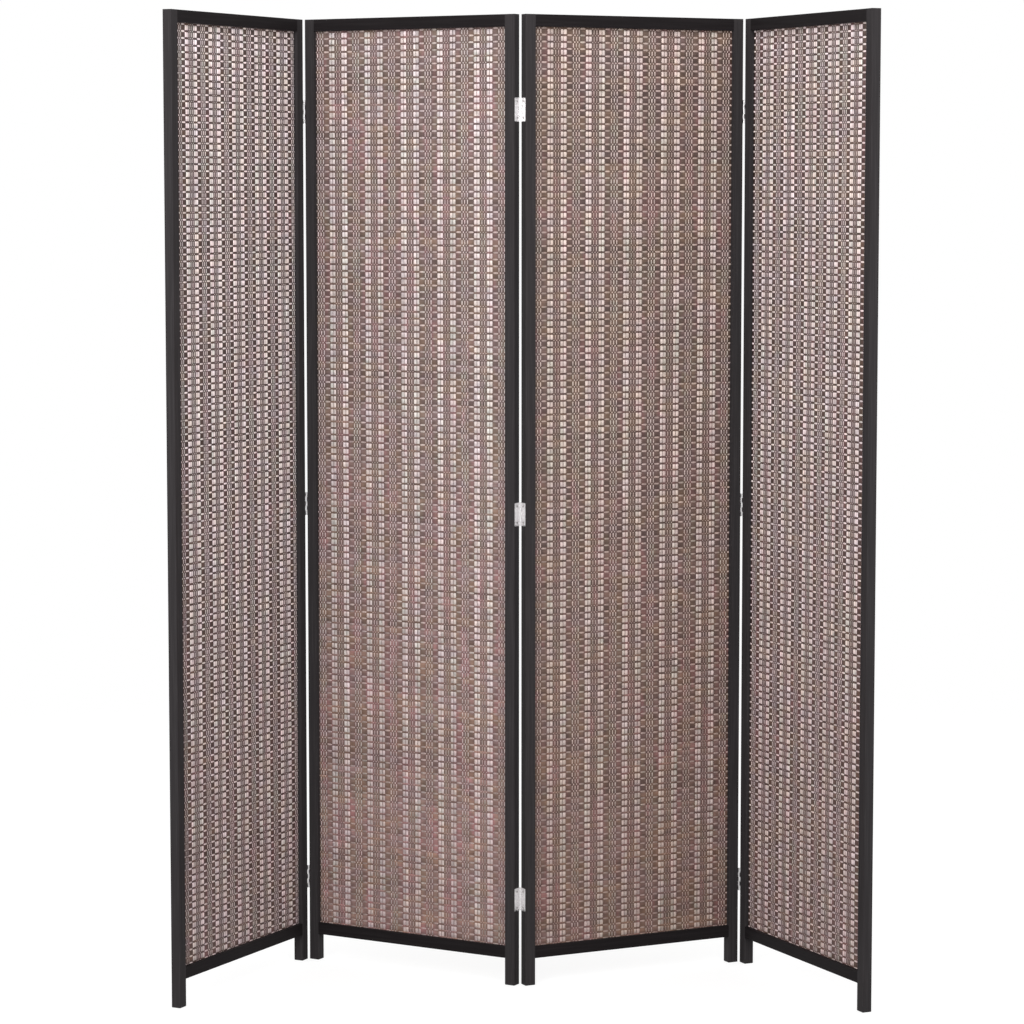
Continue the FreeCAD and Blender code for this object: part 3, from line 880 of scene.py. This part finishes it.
def thread_strips(sizes):
    """The threads of one repeat, which run on either side of the wefts by turns."""
    groups = (
        (0.0, sizes.cream_threads, -1.0, INNER_TONE),
        (repeat_width(sizes) / 2, sizes.brown_threads, 1.0, OUTER_TONE),
    )
    strips = []
    for centre, width, side, tone in groups:
        thread = width / THREADS
        for k in range(THREADS):
            place = centre + (k - THREADS // 2) * thread
            strips.append(Strip(place, thread - sizes.strip_gap, side * (-1) ** k, tone))
    return strips


class WeaveMats(bpy.types.Operator):
    """Weave the four mats from upright and level strips"""

    bl_idname = "folding_screen.weave_mats"
    bl_label = "Weave mats"

    def execute(self, context):
        sizes = context.scene.screen_weave
        colours = context.scene.screen_colours
        trees = (
            ("wide_warps", warp_tree("Wide warps", wide_strips(sizes), WIDE_SIDES)),
            ("narrow_warps", warp_tree("Narrow warps", thread_strips(sizes), THREAD_SIDES)),
            ("wefts", weft_tree("Wefts")),
        )
        for number, panel in enumerate(PANELS):
            mat = mat_place(panel)
            pale = cream_finish(panel, colours, sizes.cream_feet_painted_shade[number])
            dark = brown_finish(panel, colours, sizes.brown_feet[number])
            for order, (kind, tree) in enumerate(trees):
                thickness, shades, finish = sizes.warp_thickness, sizes.cream_shades_and_painted_light, pale
                if kind == "wefts":
                    thickness, shades, finish = sizes.weft_thickness, sizes.brown_shades_and_painted_light, dark
                values = {
                    "Mat width": mat.width - 2 * sizes.end_room,
                    "Mat height": mat.height - 2 * sizes.end_room,
                    "Rows": sizes.rows,
                    "Row shift": sizes.row_shift,
                    "Wide weft": sizes.wide_weft,
                    "Repeat": repeat_width(sizes),
                    "Stripe offset": sizes.offsets[number],
                    "Thickness": thickness,
                    "Unevenness": sizes.unevenness,
                    "Shade": shades[number],
                    "Seed": sizes.seed + SEED_STEP * number + order,
                    "Place": mat.centre,
                    "Heading": mat.heading,
                    "Finish": finish,
                    "Swing": sizes.swing,
                    "Pale lines": sizes.pale_lines[number] if kind == "wide_warps" else 0.0,
                    "Bow": sizes.bow,
                }
                piece = make_piece(f"{panel}_{kind}", tree, values)
                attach(piece, panel)
                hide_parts(panel + "_woven_mat")
        return {"FINISHED"}


class PaintFrames(bpy.types.Operator):
    """Paint the stiles and rails of the four panels black"""

    bl_idname = "folding_screen.paint_frames"
    bl_label = "Paint frames"

    def execute(self, context):
        black = tuple(context.scene.screen_colours.black)
        rail_black_painted_shade = tuple(context.scene.screen_colours.rail_black_painted_shade)
        stiles = painted_finish("black_paint_stiles", black, STILE_GRAIN)
        for node in nodes_with("_stile"):
            give(node, stiles)
        for panel in PANELS:
            heading = mat_place(panel).heading
            # The rails take the darker black, which is painted shade.
            rails = painted_finish("black_paint_rails_" + panel, rail_black_painted_shade, RAIL_GRAIN, heading)
            give(panel + "_top_rail", rails)
            give(panel + "_bottom_rail", rails)
        return {"FINISHED"}


class PlateHinges(bpy.types.Operator):
    """Give the hinge leaves and pins their bright plating and the screws their duller one"""

    bl_idname = "folding_screen.plate_hinges"
    bl_label = "Plate hinges"

    def execute(self, context):
        colours = context.scene.screen_colours
        plating = plated_finish("bright_plating", tuple(colours.steel))
        for node in nodes_with("_leaf_", "_pin"):
            give(node, plating)
        heads = plated_finish("dull_plating", tuple(colours.screw_steel))
        for node in nodes_with("_screws"):
            give(node, heads)
        return {"FINISHED"}


class FinishDowels(bpy.types.Operator):
    """Give the corner dowels their bare wood"""

    bl_idname = "folding_screen.finish_dowels"
    bl_label = "Finish dowels"

    def execute(self, context):
        beech = wood_finish("bare_beech", tuple(context.scene.screen_colours.beech))
        for node in nodes_with("_dowels"):
            give(node, beech)
        return {"FINISHED"}


# Each lamp's name, its place, the point that it shines at, and its width and height.
LAMPS = (
    ("upper", (0.0, -2.4, 3.0), (0.0, 0.0, 1.35), (2.6, 1.4)),
    ("left", (-1.8, -4.0, 2.3), (0.0, 0.0, 1.1), (1.4, 1.8)),
    ("right", (1.8, -4.0, 2.3), (0.0, 0.0, 1.1), (1.4, 1.8)),
)

# The floor's radius and corners, its depth below the feet, and where it starts and ends fading out.
FLOOR_RADIUS = 4.0
FLOOR_CORNERS = 96
FLOOR_DEPTH = 0.0004
FLOOR_FADE = (1.2, 3.6)

# How much of the floor in view is glow, and how strong the glow is.
GLOW_SHARE = 0.75
GLOW_STRENGTH = 1.09

# The width in millimetres that the lens is given for, and how far in metres the camera sees.
SENSOR_WIDTH = 36.0
FARTHEST_VIEW = 100.0


def add_lamp(name, place, target, size, watts):
    """A soft white lamp that shines at a point."""
    lamp = bpy.data.lights.new(name, "AREA")
    lamp.shape = "RECTANGLE"
    lamp.size, lamp.size_y = size
    lamp.energy = watts
    holder = bpy.data.objects.new(name, lamp)
    bpy.context.scene.collection.objects.link(holder)
    holder.location = place
    holder.rotation_euler = (Vector(target) - Vector(place)).to_track_quat("-Z", "Y").to_euler()


def camera_share(wiring):
    """1 for rays that show the background: from the camera, or by way of gloss or glass."""
    path = wiring.node("ShaderNodeLightPath").outputs
    seen = wiring.calc("MAXIMUM", path["Is Camera Ray"], path["Is Glossy Ray"])
    return wiring.calc("MAXIMUM", seen, path["Is Transmission Ray"])


def white_world(ambient):
    """A white surround that lights the screen at its own strength."""
    world = bpy.data.worlds.new("white_surround")
    world.use_nodes = True
    wiring = Wiring(world.node_tree)
    background = world.node_tree.nodes["Background"]
    strength = span(wiring, camera_share(wiring), (0.0, 1.0), to=(ambient, 1.0))
    wiring.feed(background.inputs["Strength"], strength)
    background.inputs["Color"].default_value = WHITE
    bpy.context.scene.world = world


def floor_finish(tint, bounce):
    """Pale floor that keeps the shadow and fades into the white surround."""
    finish, wiring, shader = new_finish("pale_floor")
    wiring.tree.nodes.remove(shader)
    shown = camera_share(wiring)
    body = wiring.mix(shown, (*bounce, 1.0), (*tint, 1.0))
    matt = wiring.out("ShaderNodeBsdfDiffuse", {"Color": body})
    glow = wiring.out("ShaderNodeEmission", {"Color": WHITE, "Strength": GLOW_STRENGTH})
    glow_share = wiring.calc("MULTIPLY", shown, GLOW_SHARE)
    lit = wiring.out("ShaderNodeMixShader", (glow_share, matt, glow))
    place = wiring.node("ShaderNodeTexCoord").outputs["Object"]
    away = wiring.out("ShaderNodeVectorMath", [place], output="Value", operation="LENGTH")
    clear = wiring.out("ShaderNodeBsdfTransparent")
    faded = wiring.out("ShaderNodeMixShader", (span(wiring, away, FLOOR_FADE), lit, clear))
    wiring.feed(wiring.tree.nodes["Material Output"].inputs["Surface"], faded)
    return finish


def add_camera(stage):
    """The camera of the photo, with no shift."""
    view = bpy.data.cameras.new("photo_view")
    view.lens = stage.lens
    view.sensor_width = SENSOR_WIDTH
    view.clip_end = FARTHEST_VIEW
    holder = bpy.data.objects.new("photo_view", view)
    bpy.context.scene.collection.objects.link(holder)
    holder.location = stage.camera_place
    holder.rotation_euler = Euler((math.pi / 2 - stage.camera_dip, 0.0, stage.camera_turn))
    bpy.context.scene.camera = holder


class SetStage(bpy.types.Operator):
    """Set the floor, the lights and the camera"""

    bl_idname = "folding_screen.set_stage"
    bl_label = "Set stage"

    def execute(self, context):
        stage = context.scene.screen_stage
        white_world(stage.ambient)
        bpy.ops.mesh.primitive_circle_add(
            vertices=FLOOR_CORNERS,
            radius=FLOOR_RADIUS,
            fill_type="NGON",
            location=(0.0, 0.0, -FLOOR_DEPTH),
        )
        floor = context.object
        floor.name = "floor"
        floor.data.materials.append(floor_finish(tuple(stage.floor), tuple(stage.floor_bounce)))
        for name, place, target, size in LAMPS:
            add_lamp(name + "_lamp", place, target, size, getattr(stage, name + "_power"))
        add_camera(stage)
        context.scene.view_settings.view_transform = "Standard"
        return {"FINISHED"}


OPERATORS = (WeaveMats, PaintFrames, PlateHinges, FinishDowels, SetStage)
GROUPS = {
    "screen_weave": WeaveSizes,
    "screen_colours": ScreenColours,
    "screen_stage": StageSettings,
}


class ScreenPanel(bpy.types.Panel):
    """Lists the steps that dress the folding screen"""

    bl_idname = "VIEW3D_PT_folding_screen"
    bl_label = "Folding screen"
    bl_space_type = "VIEW_3D"
    bl_region_type = "UI"
    bl_category = "Folding screen"

    def draw(self, context):
        column = self.layout.column()
        for step in OPERATORS:
            column.operator(step.bl_idname)
        for group in GROUPS:
            values = getattr(context.scene, group)
            for name in values.bl_rna.properties.keys():
                if name not in ("rna_type", "name"):
                    column.prop(values, name)


CLASSES = (*GROUPS.values(), *OPERATORS, ScreenPanel)


def register():
    for kind in CLASSES:
        bpy.utils.register_class(kind)
    for name, kind in GROUPS.items():
        setattr(bpy.types.Scene, name, PointerProperty(type=kind))


def unregister():
    for name in GROUPS:
        delattr(bpy.types.Scene, name)
    for kind in reversed(CLASSES):
        bpy.utils.unregister_class(kind)


def main():
    """Dresses the screen step by step."""
    register()
    bpy.ops.folding_screen.weave_mats()
    bpy.ops.folding_screen.paint_frames()
    bpy.ops.folding_screen.plate_hinges()
    bpy.ops.folding_screen.finish_dowels()
    bpy.ops.folding_screen.set_stage()


if __name__ == "__main__":
    main()
